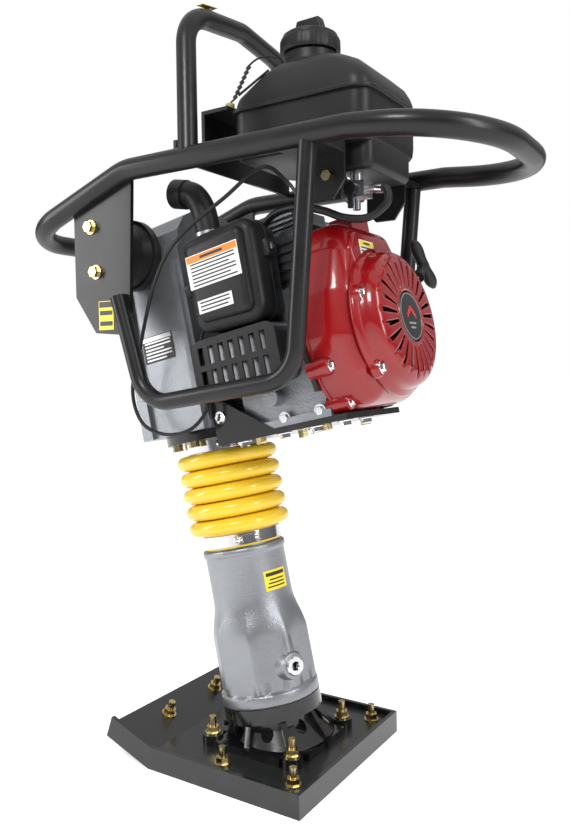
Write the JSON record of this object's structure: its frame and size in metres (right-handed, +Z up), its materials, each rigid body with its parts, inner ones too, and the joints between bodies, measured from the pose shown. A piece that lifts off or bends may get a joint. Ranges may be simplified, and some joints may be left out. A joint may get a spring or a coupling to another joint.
{
  "type": "jumping jack rammer",
  "caption": "Upright vibratory soil rammer: steel shoe, spring leg with yellow bellows, crankcase, petrol engine with recoil starter, tube handle frame and fuel tank.",
  "frame": {"origin": "on the underside of the shoe, where the leg axis meets the ground", "axes": "+Z up, -X the direction of travel towards the toe, -Y the machine's left side with the air cleaner; the leg leans 11.8 degrees forward in the XZ plane"},
  "size_m": [0.7256, 0.3326, 1.0506],
  "materials": {
    "black_steel": "gloss powder coat",
    "board": "satin black board",
    "zinc_bolts": "yellow zinc plate",
    "sand_cast_aluminium": "sand cast, satin",
    "steel": "machined",
    "chrome_band": "bright",
    "yellow_bellows": "glossy elastomer",
    "spring_steel": "shot peened, oiled",
    "bronze": "bearing bronze",
    "black_rubber": "matt",
    "black_plastic": "fine grained",
    "guard_steel": "heat resistant matt",
    "red_paint": "gloss",
    "red_plastic": "gloss",
    "white_ceramic": "glazed",
    "rope": "braided cord"
  },
  "bodies": {
    "foot": {"shoe_pan": "black_steel", "shoe_board": "board", "shoe_studs": "zinc_bolts", "foot_casting": "black_steel", "leg_cylinder": "sand_cast_aluminium", "oil_plug": "steel", "inner_tube": "steel", "lower_clamp": "chrome_band", "bellows": "yellow_bellows", "lower_spring": "spring_steel", "upper_spring": "spring_steel"},
    "machine": {"crankcase": "sand_cast_aluminium", "case_cover": "sand_cast_aluminium", "case_bolts": "zinc_bolts", "guide_cylinder": "black_steel", "guide_bush": "bronze", "upper_clamp": "chrome_band", "rubber_mount_left": "black_rubber", "rubber_mount_right": "black_rubber", "mount_plate_left": "black_steel", "mount_plate_right": "black_steel", "frame_bolts": "zinc_bolts", "main_handle": "black_steel", "top_hoop": "black_steel", "guard_left": "black_steel", "guard_right": "black_steel", "fuel_tank": "black_plastic", "tank_brackets": "black_steel", "cap_tether": "steel", "fuel_valve": "steel", "fuel_hose": "black_rubber", "throttle_bracket": "black_steel", "throttle_cable": "black_rubber", "base_plate": "black_steel", "engine_block": "sand_cast_aluminium", "cylinder_head": "sand_cast_aluminium", "spark_plug": "white_ceramic", "carburettor": "sand_cast_aluminium", "air_cleaner_case": "black_plastic", "air_cleaner_cover": "black_plastic", "intake_elbow": "black_rubber", "muffler": "steel", "muffler_guard": "guard_steel", "engine_guard": "guard_steel", "fan_shroud": "red_paint", "recoil_cover": "red_paint", "cover_badge": "black_plastic", "switch_housing": "red_paint"},
    "crank": {"crank_gear": "steel"},
    "rod": {"con_rod": "steel"},
    "ram": {"ram": "steel"},
    "pinion": {"pinion": "steel"},
    "engine_rotor": {"flywheel": "steel"},
    "grip": {"recoil_grip": "black_plastic", "recoil_rope": "rope"},
    "throttle": {"throttle_lever": "black_plastic"},
    "choke": {"choke_lever": "black_plastic"},
    "rocker": {"switch_rocker": "red_plastic"},
    "fuel_lever": {"valve_lever": "black_plastic"},
    "cap": {"fuel_cap": "black_plastic"}
  },
  "joints": [
    {"name": "ram_stroke", "type": "slide", "parent": "foot", "child": "machine", "axis": [-0.2045, 0, 0.9789], "range_m": [-0.03, 0.035], "stiffness_N_per_m": 45000, "springref_m": 0.011, "deforming": ["bellows", "lower_spring", "upper_spring"]},
    {"name": "crank_spin", "type": "hinge", "parent": "machine", "child": "crank", "pos_m": [-0.10541, 0, 0.6415], "axis": [0.9789, 0, 0.2045], "continuous": true},
    {"name": "rod_follow", "type": "hinge", "parent": "crank", "child": "rod", "pos_m": [-0.12668, 0, 0.60641], "axis": [0.9789, 0, 0.2045], "continuous": true},
    {"name": "pinion_spin", "type": "hinge", "parent": "machine", "child": "pinion", "pos_m": [-0.08854, 0, 0.56074], "axis": [0.9789, 0, 0.2045], "continuous": true},
    {"name": "engine_spin", "type": "hinge", "parent": "machine", "child": "engine_rotor", "pos_m": [0.11898, 0, 0.6041], "axis": [0.9789, 0, 0.2045], "continuous": true},
    {"name": "ram_slide", "type": "slide", "parent": "machine", "child": "ram", "axis": [-0.2045, 0, 0.9789], "range_m": [0, 0.06], "deforming": ["lower_spring", "upper_spring"]},
    {"name": "recoil_pull", "type": "slide", "parent": "machine", "child": "grip", "axis": [-0.1173, 0.8192, 0.5615], "range_m": [0, 0.45], "stiffness_N_per_m": 20, "springref_m": -0.3, "deforming": ["recoil_rope"]},
    {"name": "throttle_turn", "type": "hinge", "parent": "machine", "child": "throttle", "pos_m": [0.051, 0.118, 0.844], "axis": [0, 0, 1], "range_deg": [0, 60]},
    {"name": "choke_turn", "type": "hinge", "parent": "machine", "child": "choke", "pos_m": [-0.06923, -0.076, 0.67613], "axis": [0.9789, 0, 0.2045], "range_deg": [0, 65]},
    {"name": "switch_rock", "type": "hinge", "parent": "machine", "child": "rocker", "pos_m": [0.11714, 0.005, 0.7498], "axis": [0.9789, 0, 0.2045], "range_deg": [0, 12]},
    {"name": "fuel_turn", "type": "hinge", "parent": "machine", "child": "fuel_lever", "pos_m": [0.156, -0.06, 0.78], "axis": [0, -1, 0], "range_deg": [0, 90]},
    {"name": "cap_turn", "type": "hinge", "parent": "machine", "child": "cap", "pos_m": [0.064, 0, 0.99], "axis": [0, 0, 1], "range_deg": [0, 120]}
  ],
  "couplings": [
    {"joint": "rod_follow", "follows": "crank_spin", "ratio": -1},
    {"joint": "pinion_spin", "follows": "crank_spin", "ratio": -5}
  ]
}
